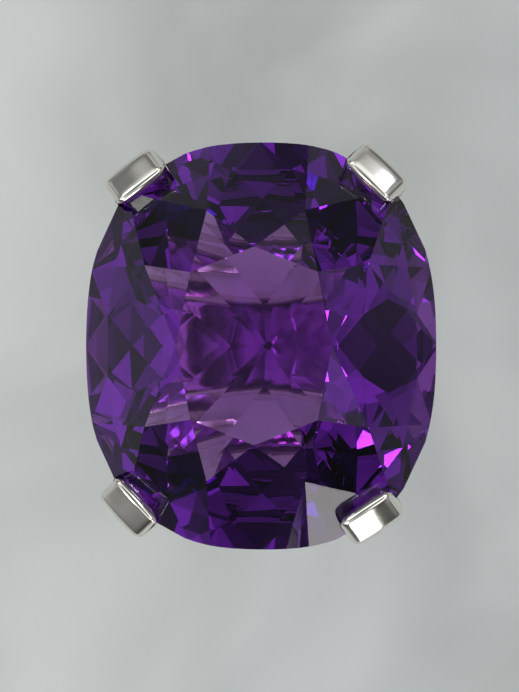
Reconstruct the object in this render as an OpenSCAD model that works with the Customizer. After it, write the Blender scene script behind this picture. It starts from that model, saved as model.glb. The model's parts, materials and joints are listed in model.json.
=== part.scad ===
// Cocktail ring: an elongated cushion amethyst held by four broad claws in an
// open basket, on a narrow shank whose shoulders split to meet the basket.
// The origin is the centre of the finger hole. The finger lies along Y,
// the stone faces +Z, and its long side runs along the finger.
// Every piece meets its neighbours face to face, as soldered or notched.

/* [Finger hole] */
// Inside diameter of the ring (16.9 mm is US size 6 1/2)
finger_d = 16.9; // [16.1:0.1:17.3]

/* [Stone] */
// Width of the stone, across the finger
stone_w = 19; // [18.5:0.25:19.5]
// Length of the stone, along the finger
stone_l = 22; // [21.5:0.25:22.5]
// Squareness of the cushion outline (2 is an ellipse)
cushion = 2.53; // [2.3:0.01:2.8]
// Height of the crown, from the girdle to the table
crown_h = 3.4; // [3:0.1:3.8]
// Thickness of the girdle at the facet meets
girdle_t = 0.5; // [0.45:0.05:0.6]
// Depth of the pavilion, from the girdle to the culet
pavilion_d = 7.6; // [7.2:0.1:8]
// Air between the culet and the finger hole
culet_gap = 1.25; // [0.9:0.05:1.5]

/* [Claws] */
// Width of a claw where it folds over the girdle
claw_w = 3.3; // [3:0.1:3.6]
// Width of a claw at its foot
claw_foot_w = 2.3; // [2:0.1:2.6]
// Thickness of a claw
claw_t = 1.9; // [1.6:0.1:2]
// Height of a claw's tip above the top of the girdle
claw_rise = 1.45; // [1.3:0.05:1.6]

/* [Basket] */
// Thickness of the gallery rails, seen from above
rail_t = 1; // [0.8:0.1:1.2]
// Height of the upper gallery rail
upper_rail_h = 1.2; // [1:0.1:1.4]
// Height of the lower gallery rail
lower_rail_h = 1; // [0.8:0.1:1.2]
// Wall thickness of the under-bezel that sits on the finger
under_bezel_t = 1.3; // [1.1:0.1:1.5]

/* [Shank] */
// Thickness of the shank at the back of the finger
shank_back_t = 1.5; // [1.3:0.1:1.8]
// Thickness of the shank beside the finger
shank_side_t = 1.2; // [1:0.05:1.2]
// Width of the shank at the back of the finger
shank_back_w = 2.6; // [2.2:0.1:3]
// Width of the shank where the shoulders start
shank_top_w = 4.2; // [4:0.1:4.6]
// Width of the bridge that closes the ring under the stone
bridge_w = 4; // [3:0.2:4.4]
// Thickness of the bridge
bridge_t = 0.95; // [0.8:0.05:1]

/* [Hidden] */

$fn = 96;
WHITE_GOLD = "gainsboro";
far = 60; // longer than the whole ring
slack = 1; // carries a cut or a blank past the face it ends on

finger_r = finger_d / 2;
half_w = stone_w / 2;
half_l = stone_l / 2;

// Heights in the stone
culet_z = finger_r + culet_gap;
girdle_bottom_z = culet_z + pavilion_d;
girdle_top_z = girdle_bottom_z + girdle_t;
girdle_middle_z = (girdle_bottom_z + girdle_top_z) / 2;
table_z = girdle_top_z + crown_h;

// The table's octagon, as shares of the stone's half width and half length
table_side = 0.43;
table_end = 0.47;
table_corner = [0.35, 0.35];
star_drop = 0.34 * crown_h;
mid_pull = 0.66;

// Corners of the pavilion's rows of facets, from the girdle to the culet,
// as shares of the outline and of the pavilion's depth
row_share = [1, 0.82, 0.62, 0.42, 0.2, 0];
row_depth = [0, 0.27, 0.48, 0.68, 0.87, 1];
row_step = [1, 1, 1, 2, 2, 2];
stations = 16;

// Basket
claw_fillet = 0.3;
claw_corner_r = 0.4;
claw_lean = 0.74; // inward run of a claw's leg for each millimetre down
claw_fall = 0.25; // how much lower a claw's top is on the outside
knee_z = girdle_bottom_z - 0.9;
upper_rail_z = girdle_bottom_z - 3.1;
lower_rail_z = culet_z + 1.5;
upper_rail_half = [8.9, 10.3];
lower_rail_half = [6.3, 7.6];
under_bezel_half = [5.8, 7];

// Shank
shank_r = finger_r + shank_side_t;
shank_drop = shank_back_t - shank_side_t;
shank_dome_r = 3.4;
split_z = 4.3;
arm_r = 0.95;
arm_tip_r = 0.8;
arm_start_y = shank_top_w / 2 - arm_r;
arm_end = [0.8 * under_bezel_half.x, 3.5];

// Where each claw's tip sits over the girdle, and which way it faces, in degrees
front_left_tip = [-7, -8.7, 223];
front_right_tip = [6.05, -9.15, 304];
back_left_tip = [-6.65, 9.1, 127];
back_right_tip = [6.3, 9.2, 46];

// ---- Outline of the cushion ----

// Point on a cushion of half sizes a, b in the direction of angle t
function rim(t, a, b) =
    let (r = pow(pow(abs(cos(t)) / a, cushion) + pow(abs(sin(t)) / b, cushion), -1 / cushion))
    [r * cos(t), r * sin(t)];

module cushion_outline(half, steps = 96)
    polygon([for (i = [0:steps - 1]) rim(i * 360 / steps, half.x, half.y)]);

module cushion_rail(half, wall, z, h)
    translate([0, 0, z]) linear_extrude(h) difference() {
        cushion_outline(half);
        cushion_outline(half - [wall, wall]);
    }

// ---- Stone ----

// Directions of the eight main facets: four sides and four corners
corner_dir = atan2(half_l, half_w);
main_dirs = [0, corner_dir, 90, 180 - corner_dir, 180, 180 + corner_dir, 270, 360 - corner_dir];
function main_dir(k) = main_dirs[(k + 8) % 8] + 360 * floor(k / 8);
function girdle_point(dir, z) = let (p = rim(dir, half_w, half_l)) [p.x, p.y, z];
function across(dir) = [-sin(dir), cos(dir), 0];

// A plane is [normal, distance]. Its normal points out of the stone.
function outward(n, p) = (n * (p - [0, 0, girdle_top_z])) < 0 ? -n : n;
function plane(a, b, c) = let (n = outward(cross(b - a, c - a), a), u = n / norm(n)) [u, u * a];
function meet(p, q, r) =
    (p[1] * cross(q[0], r[0]) + q[1] * cross(r[0], p[0]) + r[1] * cross(p[0], q[0]))
    / (p[0] * cross(q[0], r[0]));
function level(z) = [[0, 0, 1], z];

// Crown: table corners, main facets, and the points where stars meet the girdle facets
function table_point(k) =
    let (d = main_dir(k), side = k % 4 == 0, end = k % 4 == 2)
    side ? [cos(d) * table_side * half_w, 0, table_z]
    : end ? [0, sin(d) * table_end * half_l, table_z]
    : [sign(cos(d)) * table_corner.x * half_w, sign(sin(d)) * table_corner.y * half_l, table_z];
function crown_main(k) =
    let (t = table_point(k), g = girdle_point(main_dir(k), girdle_top_z))
    plane(t, g, t + across(main_dir(k)));
function star_point(k) = meet(crown_main(k), crown_main(k + 1), level(table_z - star_drop));

// Pavilion: rows of facets, whose corners lie on 16 stations round the stone and half way between them by turns
function station(j) = (main_dir(floor(j / 2)) + main_dir(ceil(j / 2))) / 2;
function half_station(j) = (station(floor(j)) + station(ceil(j))) / 2;
function row_point(i, j) =
    let (p = girdle_point(half_station(j + (i % 2) * row_step[i] / 2), 0) * row_share[i])
    [p.x, p.y, girdle_bottom_z - pavilion_d * row_depth[i]];

// The two girdle facets between mains k and k + 1: side 0 touches main k, side 1 main k + 1.
// They part half way, but nearer the end main at the ends.
function mid_share(k) = k % 4 == 1 ? mid_pull : k % 4 == 2 ? 1 - mid_pull : 0.5;
function mid_dir(k) = main_dir(k) + (main_dir(k + 1) - main_dir(k)) * mid_share(k);
function girdle_facet(apex, k, side, z) =
    plane(apex, girdle_point(main_dir(k + side), z), girdle_point(mid_dir(k), z));

// Girdle facets run on outward past the outline: the corner where two neighbours meet at a level
function crown_flare(k, side) =
    let (before = side == 0 ? girdle_facet(star_point(k + 7), k + 7, 1, girdle_top_z)
                            : girdle_facet(star_point(k), k, 0, girdle_top_z),
         after = girdle_facet(star_point(k), k, side, girdle_top_z))
    meet(before, after, level(girdle_middle_z));
function pavilion_girdle_facet(j) = plane(row_point(0, j), row_point(0, j + 1), row_point(1, j));
function pavilion_flare(j) =
    meet(pavilion_girdle_facet(j + stations - 1), pavilion_girdle_facet(j), level(girdle_middle_z));

// Convex solid with flat facets through the given points, which runs on to far_z at its open end
module faceted(points, open_ring, far_z) {
    skirt = [for (p = open_ring) [p.x, p.y, far_z]];
    corners = concat(points, open_ring, skirt);
    hull() polyhedron(corners, [[for (i = [0:len(corners) - 1]) i]]);
}

module crown()
    faceted([for (k = [0:7]) each [table_point(k), star_point(k), girdle_point(main_dir(k), girdle_top_z)]],
            [for (k = [0:7]) each [crown_flare(k, 0), crown_flare(k, 1)]],
            culet_z - slack);

module pavilion()
    faceted([for (i = [0:len(row_share) - 1], j = [0:row_step[i]:stations - 1]) row_point(i, j)],
            [for (j = [0:stations - 1]) pavilion_flare(j)],
            table_z + slack);

module amethyst() {
    color("rebeccapurple")
    intersection() {
        translate([0, 0, culet_z - slack])
            linear_extrude(table_z - culet_z + 2 * slack) cushion_outline([half_w, half_l]);
        crown();
        pavilion();
    }
}

// ---- Claws ----

// Side view of a claw, with x outward from the girdle and y up
module claw_side() {
    r = claw_t / 2;
    foot_z = culet_z - slack;
    hull() {
        translate([0, knee_z]) circle(r);
        translate([-claw_lean * (knee_z - foot_z), foot_z]) circle(r);
    }
    hull() {
        translate([0, knee_z]) circle(r);
        translate([r - claw_fillet, girdle_top_z + claw_rise - claw_fillet - claw_fall]) circle(claw_fillet);
        translate([claw_fillet - r, girdle_top_z + claw_rise - claw_fillet]) circle(claw_fillet);
    }
}

// Front view of a claw: broad at the tip and narrow at the foot
module claw_front() {
    hull() {
        for (side = [-1, 1]) {
            translate([side * (claw_w / 2 - claw_corner_r), girdle_top_z + claw_rise]) circle(claw_corner_r);
            translate([side * (claw_w / 2 - claw_corner_r), knee_z]) circle(claw_corner_r);
            translate([side * (claw_foot_w / 2 - claw_corner_r), culet_z]) circle(claw_corner_r);
        }
    }
}

module claw(tip) {
    color(WHITE_GOLD)
    difference() {
        translate([tip.x, tip.y, 0]) rotate(tip.z) intersection() {
            rotate([90, 0, 0]) linear_extrude(claw_w, center = true) claw_side();
            translate([-far / 4, 0, 0]) rotate([90, 0, 90]) linear_extrude(far / 2) claw_front();
        }
        translate([0, 0, culet_z - far]) cube([far, far, 2 * far], center = true);
        amethyst();
        upper_gallery_rail();
        lower_gallery_rail();
    }
}

module claw_front_left() claw(front_left_tip);
module claw_front_right() claw(front_right_tip);
module claw_back_left() claw(back_left_tip);
module claw_back_right() claw(back_right_tip);

// ---- Basket ----

module upper_gallery_rail() {
    color(WHITE_GOLD)
    difference() {
        cushion_rail(upper_rail_half, rail_t, upper_rail_z, upper_rail_h);
        amethyst();
    }
}

module lower_gallery_rail() {
    color(WHITE_GOLD) cushion_rail(lower_rail_half, rail_t, lower_rail_z, lower_rail_h);
}

module finger_hole() rotate([90, 0, 0]) cylinder(h = far, r = finger_r, center = true);

module under_bezel() {
    color(WHITE_GOLD)
    difference() {
        cushion_rail(under_bezel_half, under_bezel_t, 0, culet_z);
        finger_hole();
    }
}

// ---- Shank ----

// Ring of D-shaped section, thicker towards the back of the finger
module shank_round() {
    difference() {
        translate([0, 0, -shank_drop]) rotate([90, 0, 0]) rotate_extrude() intersection() {
            translate([shank_r - shank_dome_r, 0]) circle(shank_dome_r);
            translate([finger_r - slack, -far / 2]) square([far, far]);
        }
        finger_hole();
    }
}

module shank() {
    bottom_z = -shank_r - shank_drop;
    color(WHITE_GOLD)
    intersection() {
        shank_round();
        rotate([90, 0, 90]) linear_extrude(far, center = true) polygon([
            [-shank_back_w / 2, bottom_z], [shank_back_w / 2, bottom_z],
            [shank_top_w / 2, split_z], [-shank_top_w / 2, split_z]]);
    }
}

// Band inside the under-bezel, flush with the finger hole, that makes the ring a full circle
module shank_bridge() {
    color(WHITE_GOLD)
    difference() {
        intersection() {
            rotate([90, 0, 0]) cylinder(h = bridge_w, r = finger_r + bridge_t, center = true);
            linear_extrude(far) cushion_outline(under_bezel_half - [under_bezel_t, under_bezel_t]);
        }
        finger_hole();
    }
}

// One arm of a split shoulder: side is -1 left or 1 right, end is -1 front or 1 back
module shoulder(side, end) {
    color(WHITE_GOLD)
    difference() {
        intersection() {
            translate([0, 0, -shank_drop]) rotate([90, 0, 0]) cylinder(h = far, r = shank_r, center = true);
            translate([0, 0, split_z]) linear_extrude(far) hull() {
                translate([side * shank_r, end * arm_start_y]) circle(arm_r);
                translate([side * arm_end.x, end * arm_end.y]) circle(arm_tip_r);
            }
        }
        finger_hole();
        linear_extrude(far) cushion_outline(under_bezel_half);
    }
}

module shoulder_front_left() shoulder(-1, -1);
module shoulder_front_right() shoulder(1, -1);
module shoulder_back_left() shoulder(-1, 1);
module shoulder_back_right() shoulder(1, 1);

amethyst();
claw_front_left();
claw_front_right();
claw_back_left();
claw_back_right();
upper_gallery_rail();
lower_gallery_rail();
under_bezel();
shank();
shank_bridge();
shoulder_front_left();
shoulder_front_right();
shoulder_back_left();
shoulder_back_right();
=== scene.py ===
"""Looks for the cocktail ring: polished white metal around an elongated cushion amethyst.

Everything is in metres in the CAD frame: the finger lies along Y, the stone faces +Z, and the origin is the
centre of the finger hole. Lengths are written in millimetres and multiplied by MM.
"""

import json
import math

import bmesh
import bpy
from mathutils import Matrix, Vector


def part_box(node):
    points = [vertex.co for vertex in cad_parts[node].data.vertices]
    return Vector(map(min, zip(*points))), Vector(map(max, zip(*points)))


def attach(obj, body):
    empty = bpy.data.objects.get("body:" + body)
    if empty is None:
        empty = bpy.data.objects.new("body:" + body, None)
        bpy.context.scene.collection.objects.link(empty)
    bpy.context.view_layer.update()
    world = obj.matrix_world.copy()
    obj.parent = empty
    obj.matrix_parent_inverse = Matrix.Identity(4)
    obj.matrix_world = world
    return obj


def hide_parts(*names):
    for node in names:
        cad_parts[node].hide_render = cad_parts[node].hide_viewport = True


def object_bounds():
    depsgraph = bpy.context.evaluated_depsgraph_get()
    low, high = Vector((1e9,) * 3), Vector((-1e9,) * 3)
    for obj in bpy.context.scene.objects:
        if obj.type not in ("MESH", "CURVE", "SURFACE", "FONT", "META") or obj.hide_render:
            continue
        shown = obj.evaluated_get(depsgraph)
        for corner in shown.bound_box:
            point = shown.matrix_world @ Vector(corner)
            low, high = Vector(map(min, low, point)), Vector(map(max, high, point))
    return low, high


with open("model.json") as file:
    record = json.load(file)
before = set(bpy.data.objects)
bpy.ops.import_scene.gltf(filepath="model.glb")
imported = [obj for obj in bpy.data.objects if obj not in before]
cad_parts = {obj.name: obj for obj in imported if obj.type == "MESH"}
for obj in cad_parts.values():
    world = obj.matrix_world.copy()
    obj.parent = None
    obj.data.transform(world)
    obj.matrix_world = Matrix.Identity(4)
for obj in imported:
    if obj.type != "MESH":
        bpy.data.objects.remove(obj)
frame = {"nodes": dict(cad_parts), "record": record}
cad_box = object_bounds()

MM = 0.001

# ---- Sizes read from the frame, in millimetres ----


def node_box(name):
    """Lowest and highest corner of a CAD node, in millimetres."""
    low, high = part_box(name)
    return low / MM, high / MM


FINGER_R = frame["record"]["mounts"][0]["dims"]["r_mm"]
STONE_LOW, STONE_HIGH = node_box("amethyst")
HALF_W, HALF_L = STONE_HIGH.x, STONE_HIGH.y
CULET_Z, TABLE_Z = STONE_LOW.z, STONE_HIGH.z
CROWN_H = 3.4
GIRDLE_TOP = TABLE_Z - CROWN_H
GIRDLE_BOTTOM = GIRDLE_TOP - 0.5
CUSHION = 2.53
SHANK_LOW, SHANK_HIGH = node_box("shank")
SPLIT_Z = SHANK_HIGH.z
BEZEL_LOW, BEZEL_HIGH = node_box("under_bezel")


# ---- Small geometry helpers ----


def rim(angle, half_x, half_y):
    """Point on a cushion outline, in the direction of angle."""
    c, s = math.cos(angle), math.sin(angle)
    r = (abs(c / half_x) ** CUSHION + abs(s / half_y) ** CUSHION) ** (-1 / CUSHION)
    return Vector((r * c, r * s))


def rounded(corners, arc_steps=6):
    """A closed 2D outline through (x, y, radius) corners, each one turned into an arc of that radius."""
    points = []
    count = len(corners)
    for i, (x, y, radius) in enumerate(corners):
        here = Vector((x, y))
        to_last = (Vector(corners[i - 1][:2]) - here).normalized()
        to_next = (Vector(corners[(i + 1) % count][:2]) - here).normalized()
        half = math.acos(max(-1.0, min(1.0, to_last.dot(to_next)))) / 2
        if radius == 0 or half > math.radians(89):
            points.append(here)
            continue
        bisector = (to_last + to_next).normalized()
        centre = here + bisector * (radius / math.sin(half))
        start = here + to_last * (radius / math.tan(half)) - centre
        end = here + to_next * (radius / math.tan(half)) - centre
        sweep = start.angle_signed(end)
        for k in range(arc_steps + 1):
            points.append(centre + Matrix.Rotation(-sweep * k / arc_steps, 2) @ start)
    return points


def resample(points, spacing):
    """Adds points along the straight stretches of a closed outline so that none is longer than spacing."""
    out = []
    for i, p in enumerate(points):
        q = points[(i + 1) % len(points)]
        steps = max(1, math.ceil((q - p).length / spacing))
        out += [p.lerp(q, k / steps) for k in range(steps)]
    return out


def loft(name, rings, closed=False):
    """A mesh object through rings of points in millimetres, closed into a loop or capped at both ends."""
    bm = bmesh.new()
    rows = [[bm.verts.new(Vector(p) * MM) for p in ring] for ring in rings]
    pairs = list(zip(rows, rows[1:]))
    if closed:
        pairs.append((rows[-1], rows[0]))
    for a, b in pairs:
        for j in range(len(a)):
            k = (j + 1) % len(a)
            bm.faces.new((a[j], a[k], b[k], b[j]))
    if not closed:
        bm.faces.new(reversed(rows[0]))
        bm.faces.new(rows[-1])
    bmesh.ops.recalc_face_normals(bm, faces=bm.faces)
    mesh = bpy.data.meshes.new(name)
    bm.to_mesh(mesh)
    bm.free()
    mesh.polygons.foreach_set("use_smooth", [True] * len(mesh.polygons))
    piece = bpy.data.objects.new(name, mesh)
    bpy.context.scene.collection.objects.link(piece)
    return piece


def on_root(piece, node):
    """The piece rides on the ring and stands for one CAD node."""
    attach(piece, "root")
    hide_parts(node)
    return piece


# ---- Materials ----


class Nodes:
    """Shorthand for building a node tree."""

    def __init__(self, tree):
        self.tree = tree
        tree.nodes.clear()

    def add(self, kind, **inputs):
        node = self.tree.nodes.new(kind)
        for key, value in inputs.items():
            socket = node.inputs[key.replace("_", " ")]
            if isinstance(value, bpy.types.NodeSocket):
                self.tree.links.new(value, socket)
            else:
                socket.default_value = value
        return node

    def link(self, source, target):
        self.tree.links.new(source, target)


def new_material(name):
    material = bpy.data.materials.new(name)
    material.use_nodes = True
    return material, Nodes(material.node_tree)


def ramp(n, factor, stops):
    """A colour ramp over factor with (position, grey level) stops."""
    node = n.add("ShaderNodeValToRGB", Fac=factor)
    elements = node.color_ramp.elements
    while len(elements) < len(stops):
        elements.new(0.5)
    for element, (position, level) in zip(elements, stops):
        element.position = position
        element.color = (level, level, level, 1)
    return node.outputs["Color"]


def white_metal():
    """Rhodium-plated white gold: mirror polish with a faint ripple, hairline scratches and a duller film."""
    material, n = new_material("white_metal")
    place = n.add("ShaderNodeTexCoord").outputs["Object"]
    film = n.add("ShaderNodeTexNoise", Vector=place, Scale=300.0, Detail=3.0)
    stretched = n.add("ShaderNodeMapping", Vector=place, Rotation=(0.4, 0.7, 0.5), Scale=(9000.0, 350.0, 700.0))
    hairlines = n.add("ShaderNodeTexNoise", Vector=stretched.outputs["Vector"], Scale=1.0, Detail=2.0)
    scratch = ramp(n, hairlines.outputs["Fac"], [(0.62, 0.0), (0.75, 1.0)])
    peel = n.add("ShaderNodeTexNoise", Vector=place, Scale=700.0, Detail=2.0)
    rough = n.add("ShaderNodeMapRange", Value=film.outputs["Fac"], To_Min=0.05, To_Max=0.16)
    tint = n.add("ShaderNodeMix")
    tint.data_type = "RGBA"
    n.link(film.outputs["Fac"], tint.inputs["Factor"])
    tint.inputs["A"].default_value = (0.77, 0.76, 0.7, 1)
    tint.inputs["B"].default_value = (0.85, 0.84, 0.78, 1)
    waves = n.add("ShaderNodeBump", Height=peel.outputs["Fac"], Strength=0.25, Distance=0.00002)
    lines = n.add("ShaderNodeBump", Height=scratch, Strength=0.12, Distance=0.000004, Normal=waves.outputs["Normal"])
    shader = n.add(
        "ShaderNodeBsdfPrincipled",
        Base_Color=tint.outputs["Result"],
        Metallic=1.0,
        Roughness=rough.outputs["Result"],
        Normal=lines.outputs["Normal"],
    )
    out = n.add("ShaderNodeOutputMaterial")
    n.link(shader.outputs["BSDF"], out.inputs["Surface"])
    return material


def amethyst_glass():
    """Quartz with deep violet absorption. The girdle is left slightly frosted, as it is cut."""
    material, n = new_material("amethyst")
    geometry = n.add("ShaderNodeTexCoord")
    upright = n.add("ShaderNodeSeparateXYZ", Vector=geometry.outputs["Normal"])
    steepness = n.add("ShaderNodeMath")
    steepness.operation = "ABSOLUTE"
    n.link(upright.outputs["Z"], steepness.inputs[0])
    girdle = n.add("ShaderNodeMapRange", Value=steepness.outputs["Value"], From_Min=0.5, From_Max=0.55, To_Min=1.0, To_Max=0.0)
    frosted = n.add("ShaderNodeMapRange", Value=girdle.outputs["Result"], To_Min=0.0, To_Max=0.35)
    clear = n.add("ShaderNodeMapRange", Value=girdle.outputs["Result"], To_Min=1.0, To_Max=0.4)
    tint = n.add("ShaderNodeMix")
    tint.data_type = "RGBA"
    n.link(girdle.outputs["Result"], tint.inputs["Factor"])
    tint.inputs["A"].default_value = (1.0, 1.0, 1.0, 1)
    tint.inputs["B"].default_value = (0.72, 0.6, 0.82, 1)
    shader = n.add(
        "ShaderNodeBsdfPrincipled",
        Base_Color=tint.outputs["Result"],
        Roughness=frosted.outputs["Result"],
        IOR=1.55,
        Transmission_Weight=clear.outputs["Result"],
    )
    absorption = n.add("ShaderNodeVolumeAbsorption", Color=(0.5, 0.08, 0.68, 1.0), Density=225.0)
    out = n.add("ShaderNodeOutputMaterial")
    n.link(shader.outputs["BSDF"], out.inputs["Surface"])
    n.link(absorption.outputs["Volume"], out.inputs["Volume"])
    return material


METAL = white_metal()
GLASS = amethyst_glass()

# ---- Stone ----

stone = frame["nodes"]["amethyst"]
stone.data.materials.clear()
stone.data.materials.append(GLASS)
weld = stone.modifiers.new("weld", "WELD")
weld.merge_threshold = 0.001 * MM
edge = stone.modifiers.new("girdle_edge", "BEVEL")
edge.width = 0.13 * MM
edge.segments = 1
edge.limit_method = "ANGLE"
edge.angle_limit = math.radians(48)


# ---- Claws ----

CLAW_W = 3.3
CLAW_T = 1.9
CLAW_FOOT_W = 2.3
CLAW_TOP = GIRDLE_TOP + 1.45
CLAW_LEAN = 0.74
KNEE_Z = GIRDLE_BOTTOM - 0.9
# Tip of each claw over the girdle, in millimetres, the way it faces, in degrees, and how far its top falls outward
CLAWS = {
    "claw_front_left": (-7.0, -8.7, 223, 0.7),
    "claw_front_right": (6.05, -9.15, 304, 0.95),
    "claw_back_left": (-6.65, 9.1, 127, 0.55),
    "claw_back_right": (6.3, 9.2, 46, 0.55),
}


def claw_side(fall):
    """Side view of a claw: x outward from the girdle, y up. The foot is square and the tip is rolled over."""
    half = CLAW_T / 2
    foot_run = CLAW_LEAN * (KNEE_Z - CULET_Z)
    slant = half * math.hypot(1, CLAW_LEAN)
    corners = [
        (slant - foot_run, CULET_Z, 0.05),
        (half, KNEE_Z + 0.3, 2.5),
        (half + 0.02, CLAW_TOP - fall, 0.5),
        (-half + 0.1, CLAW_TOP + 0.02, 0.35),
        (-half - 0.05, KNEE_Z + 0.2, 1.0),
        (-slant - foot_run, CULET_Z, 0.05),
    ]
    return resample(rounded(corners, 8), 0.35)


def inset(outline, amount):
    """The outline moved inward by amount along its own normals."""
    out = []
    for i, p in enumerate(outline):
        along = outline[(i + 1) % len(outline)] - outline[i - 1]
        normal = Vector((-along.y, along.x)).normalized()
        out.append(p + normal * amount)
    return out


def claw(name):
    x, y, facing, fall = CLAWS[name]
    outline = claw_side(fall)
    edge_r, dome = 0.42, 0.1
    half = CLAW_W / 2
    stations = [-half + edge_r * (1 - math.cos(math.radians(a))) for a in range(0, 91, 15)]
    flat = [s / 6 * (half - edge_r) for s in range(-5, 6)]
    stations = stations + flat + [-s for s in reversed(stations)]
    turn = Matrix.Rotation(math.radians(facing), 3, "Z")
    rings = []
    for v in stations:
        past = max(0.0, abs(v) - (half - edge_r)) / edge_r
        amount = edge_r * (1 - math.sqrt(max(0.0, 1 - past * past))) + dome * (v / half) ** 2
        ring = []
        for p in inset(outline, amount):
            share = min(1.0, max(0.0, (p.y - CULET_Z) / (KNEE_Z - CULET_Z)))
            width = CLAW_FOOT_W + (CLAW_W - CLAW_FOOT_W) * share
            ring.append(turn @ Vector((p.x, v * width / CLAW_W, p.y)) + Vector((x, y, 0)))
        rings.append(ring)
    piece = loft(name + "_polished", rings)
    piece.data.materials.append(METAL)
    return on_root(piece, name)


for claw_name in CLAWS:
    claw(claw_name)


# ---- Basket ----


def rail(name):
    """A cushion-shaped gallery rail with softened edges."""
    low, high = node_box(name)
    wall = 1.0
    height = high.z - low.z
    section = rounded([(0, 0, 0.2), (wall, 0, 0.25), (wall, height, 0.3), (0, height, 0.2)], 5)
    rings = []
    for i in range(144):
        angle = 2 * math.pi * i / 144
        ring = []
        for p in section:
            at = rim(angle, high.x - wall + p.x, high.y - wall + p.x)
            ring.append(Vector((at.x, at.y, low.z + p.y)))
        rings.append(ring)
    piece = loft(name + "_polished", rings, closed=True)
    piece.data.materials.append(METAL)
    return on_root(piece, name)


def under_bezel():
    """The wall that stands on the finger: flat on top, and hollowed below to the finger hole."""
    wall = 1.3
    rings = []
    for i in range(160):
        angle = 2 * math.pi * i / 160
        inner = rim(angle, BEZEL_HIGH.x - wall, BEZEL_HIGH.y - wall)
        outer = rim(angle, BEZEL_HIGH.x, BEZEL_HIGH.y)
        foot_in = math.sqrt(FINGER_R**2 - inner.x**2)
        foot_out = math.sqrt(FINGER_R**2 - outer.x**2)
        section = rounded(
            [(0, foot_in, 0.1), (wall, foot_out, 0.12), (wall, BEZEL_HIGH.z, 0.25), (0, BEZEL_HIGH.z, 0.2)], 5
        )
        rings.append([Vector((*inner.lerp(outer, p.x / wall), p.y)) for p in section])
    piece = loft("under_bezel_polished", rings, closed=True)
    piece.data.materials.append(METAL)
    return on_root(piece, "under_bezel")


rail("upper_gallery_rail")
rail("lower_gallery_rail")
under_bezel()

# ---- Shank and shoulders ----

SHANK_SIDE_T = SHANK_HIGH.x - FINGER_R
SHANK_BACK_T = -SHANK_LOW.z - FINGER_R
BACK_HALF_W = 1.3
TOP_HALF_W = SHANK_HIGH.y
ARM_R = 0.95
ARM_TIP_R = 0.8
ARM_START_Y = TOP_HALF_W - ARM_R
ARM_STOP_X = 5.0
ARM_STOP_Y = 3.4


def shank_at(angle, across, depth):
    """A point on the shank: angle from the back of the finger, across it, and depth out from the finger hole."""
    r = FINGER_R + depth
    return Vector((r * math.sin(angle), across, -r * math.cos(angle)))


def d_section(half_w, thickness, dome):
    """Half-round section: flat on the finger with eased edges, domed outside. x across, y outward."""
    side = thickness - dome
    corners = [(-half_w, 0, 0.18), (half_w, 0, 0.18), (half_w, side, 0.3)]
    for k in range(1, 8):
        t = 1 - 2 * k / 8
        corners.append((half_w * t, side + dome * (1 - t * t), 0))
    corners.append((-half_w, side, 0.3))
    return rounded(corners, 5)


def shank():
    end = math.pi - math.acos(SPLIT_Z / (FINGER_R + SHANK_SIDE_T / 2))
    rings = []
    for i in range(121):
        angle = end * (2 * i / 120 - 1)
        share = (1 - math.cos(angle)) / (1 - math.cos(end))
        half_w = BACK_HALF_W + (TOP_HALF_W - BACK_HALF_W) * share
        back = (1 + math.cos(angle)) / 2
        thickness = SHANK_SIDE_T + (SHANK_BACK_T - SHANK_SIDE_T) * back
        rings.append([shank_at(angle, p.x, p.y) for p in d_section(half_w, thickness, 0.35)])
    piece = loft("shank_polished", rings)
    piece.data.materials.append(METAL)
    return on_root(piece, "shank")


def shank_bridge():
    """The band inside the under-bezel: eased edges, flush with the finger hole."""
    low, high = node_box("shank_bridge")
    end = math.asin(high.x / FINGER_R)
    rings = []
    for i in range(49):
        angle = math.pi + end * (2 * i / 48 - 1)
        rings.append([shank_at(angle, p.x, p.y) for p in d_section(high.y, high.z - FINGER_R, 0.12)])
    piece = loft("shank_bridge_polished", rings)
    piece.data.materials.append(METAL)
    return on_root(piece, "shank_bridge")


def shoulder(name):
    """One arm of the split: a rounded bar from the shank's edge, inside the ring's round, to the under-bezel."""
    low, high = node_box(name)
    side = 1 if high.x > 0 else -1
    end = 1 if high.y > 0 else -1
    outer = FINGER_R + SHANK_SIDE_T
    start = math.pi - math.acos(SPLIT_Z / outer) - 0.03
    stop = math.pi - math.asin(ARM_STOP_X / outer)
    rings = []
    for i in range(33):
        t = i / 32
        angle = start + (stop - start) * t
        half_w = ARM_R + (ARM_TIP_R - ARM_R) * t
        middle = ARM_START_Y + (ARM_STOP_Y - ARM_START_Y) * t
        section = d_section(half_w, SHANK_SIDE_T - 0.04, 0.3)
        rings.append([shank_at(side * angle, end * middle + p.x, p.y) for p in section])
    piece = loft(name + "_polished", rings)
    piece.data.materials.append(METAL)
    return on_root(piece, name)


shank()
shank_bridge()
for end_name in ("front", "back"):
    for side_name in ("left", "right"):
        shoulder(f"shoulder_{end_name}_{side_name}")

# ---- Photograph's setting: pale floor, soft light, camera ----


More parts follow.
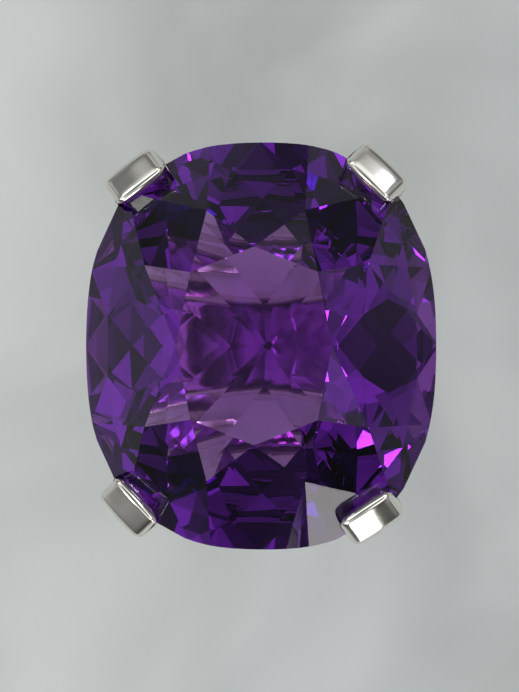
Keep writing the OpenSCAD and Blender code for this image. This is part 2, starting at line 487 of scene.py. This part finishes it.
def floor():
    """A plain pale sheet under the ring."""
    size = 1.2
    top = cad_box[0][2]
    bm = bmesh.new()
    bmesh.ops.create_grid(bm, x_segments=8, y_segments=8, size=size)
    bmesh.ops.translate(bm, verts=bm.verts, vec=(0, 0, top))
    mesh = bpy.data.meshes.new("floor")
    bm.to_mesh(mesh)
    bm.free()
    sheet = bpy.data.objects.new("floor", mesh)
    bpy.context.scene.collection.objects.link(sheet)
    material, n = new_material("floor_paper")
    place = n.add("ShaderNodeTexCoord").outputs["Object"]
    cloud = n.add("ShaderNodeTexNoise", Vector=place, Scale=35.0, Detail=3.0, Distortion=0.6)
    clouds = n.add("ShaderNodeMapRange", Value=cloud.outputs["Fac"], From_Min=0.35, From_Max=0.6)
    tint = n.add("ShaderNodeMix")
    tint.data_type = "RGBA"
    n.link(clouds.outputs["Result"], tint.inputs["Factor"])
    tint.inputs["A"].default_value = (0.58, 0.62, 0.62, 1)
    tint.inputs["B"].default_value = (0.78, 0.82, 0.82, 1)
    shader = n.add("ShaderNodeBsdfPrincipled", Base_Color=tint.outputs["Result"], Roughness=0.6)
    out = n.add("ShaderNodeOutputMaterial")
    n.link(shader.outputs["BSDF"], out.inputs["Surface"])
    mesh.materials.append(material)


def softbox(name, azimuth, polar, size, power, colour):
    """A rectangular area light, half a metre from the stone, at an azimuth and an angle from straight up."""
    data = bpy.data.lights.new(name, "AREA")
    data.shape = "RECTANGLE"
    data.size, data.size_y = size
    data.energy = power
    data.color = colour
    light = bpy.data.objects.new(name, data)
    bpy.context.scene.collection.objects.link(light)
    turn = Matrix.Rotation(math.radians(azimuth + 90), 3, "Z") @ Matrix.Rotation(math.radians(polar), 3, "X")
    light.location = Vector((0, 0, GIRDLE_TOP * MM)) + turn @ Vector((0, 0, 0.5))
    light.rotation_euler = turn.to_euler()


def sky():
    """A pale room: bright round the sides, darker overhead where the photographer leans in."""
    world = bpy.data.worlds.new("room")
    world.use_nodes = True
    bpy.context.scene.world = world
    n = Nodes(world.node_tree)
    direction = n.add("ShaderNodeTexCoord").outputs["Generated"]
    split = n.add("ShaderNodeSeparateXYZ", Vector=direction)
    height = split.outputs["Z"]
    level = ramp(n, height, [(0.0, 0.55), (0.2, 0.42), (0.35, 0.3), (0.74, 0.34), (0.83, 1.1), (0.95, 1.1), (0.98, 0.2)])
    cloud = n.add("ShaderNodeTexNoise", Vector=direction, Scale=2.6, Detail=1.0)
    patches = n.add(
        "ShaderNodeMapRange", Value=cloud.outputs["Fac"], From_Min=0.42, From_Max=0.58, To_Min=0.5, To_Max=1.5
    )
    body = n.add("ShaderNodeMapRange", Value=split.outputs["Y"], From_Min=-0.7, From_Max=-0.3, To_Min=0.25, To_Max=1.0)
    upper = n.add("ShaderNodeMapRange", Value=height, From_Min=0.05, From_Max=0.3, To_Min=0.0, To_Max=1.0)
    shade = n.add("ShaderNodeMath")
    shade.operation = "MULTIPLY"
    n.link(patches.outputs["Result"], shade.inputs[0])
    n.link(body.outputs["Result"], shade.inputs[1])
    strength = n.add("ShaderNodeMix")
    n.link(upper.outputs["Result"], strength.inputs["Factor"])
    strength.inputs["A"].default_value = 1.0
    n.link(shade.outputs["Value"], strength.inputs["B"])
    back = n.add("ShaderNodeBackground", Color=level, Strength=strength.outputs["Result"])
    out = n.add("ShaderNodeOutputWorld")
    n.link(back.outputs["Background"], out.inputs["Surface"])


def camera():
    """Looks down the stone's axis, leaning a little to the right, as close as a phone is held."""
    lean = math.radians(5)
    distance = 0.09
    aim = Vector((0.0, 0.0, GIRDLE_TOP * MM))
    data = bpy.data.cameras.new("camera")
    data.sensor_fit = "VERTICAL"
    data.sensor_height = 24.0
    frame_height = 37.4 * MM
    data.lens = data.sensor_height * distance / frame_height
    data.clip_start = 0.005
    data.clip_end = 10.0
    eye = bpy.data.objects.new("camera", data)
    bpy.context.scene.collection.objects.link(eye)
    eye.location = aim + Vector((math.sin(lean), 0, math.cos(lean))) * distance
    eye.rotation_euler = (0, lean, 0)
    bpy.context.scene.camera = eye
    return data


floor()
sky()
camera()
# The window is mirrored by one girdle facet and the claw beside it. The lamps flash inside the stone.
softbox("window", 293, 66, (0.12, 0.25), 0.42, (1.0, 0.98, 0.94))
softbox("lamp_a", 45, 36, (0.05, 0.05), 0.14, (0.85, 0.85, 1.0))
softbox("lamp_b", 97, 36, (0.05, 0.05), 0.14, (1.0, 0.85, 0.7))
softbox("lamp_c", 145, 36, (0.05, 0.05), 0.14, (0.85, 1.0, 0.9))
softbox("lamp_d", 215, 36, (0.05, 0.05), 0.14, (1.0, 0.85, 0.75))
softbox("lamp_e", 265, 36, (0.05, 0.05), 0.14, (0.85, 0.95, 1.0))
scene = bpy.context.scene
scene.view_settings.view_transform = "Standard"
scene.cycles.max_bounces = 32
scene.cycles.transmission_bounces = 32
scene.cycles.glossy_bounces = 16
scene.cycles.caustics_reflective = False
scene.cycles.caustics_refractive = False
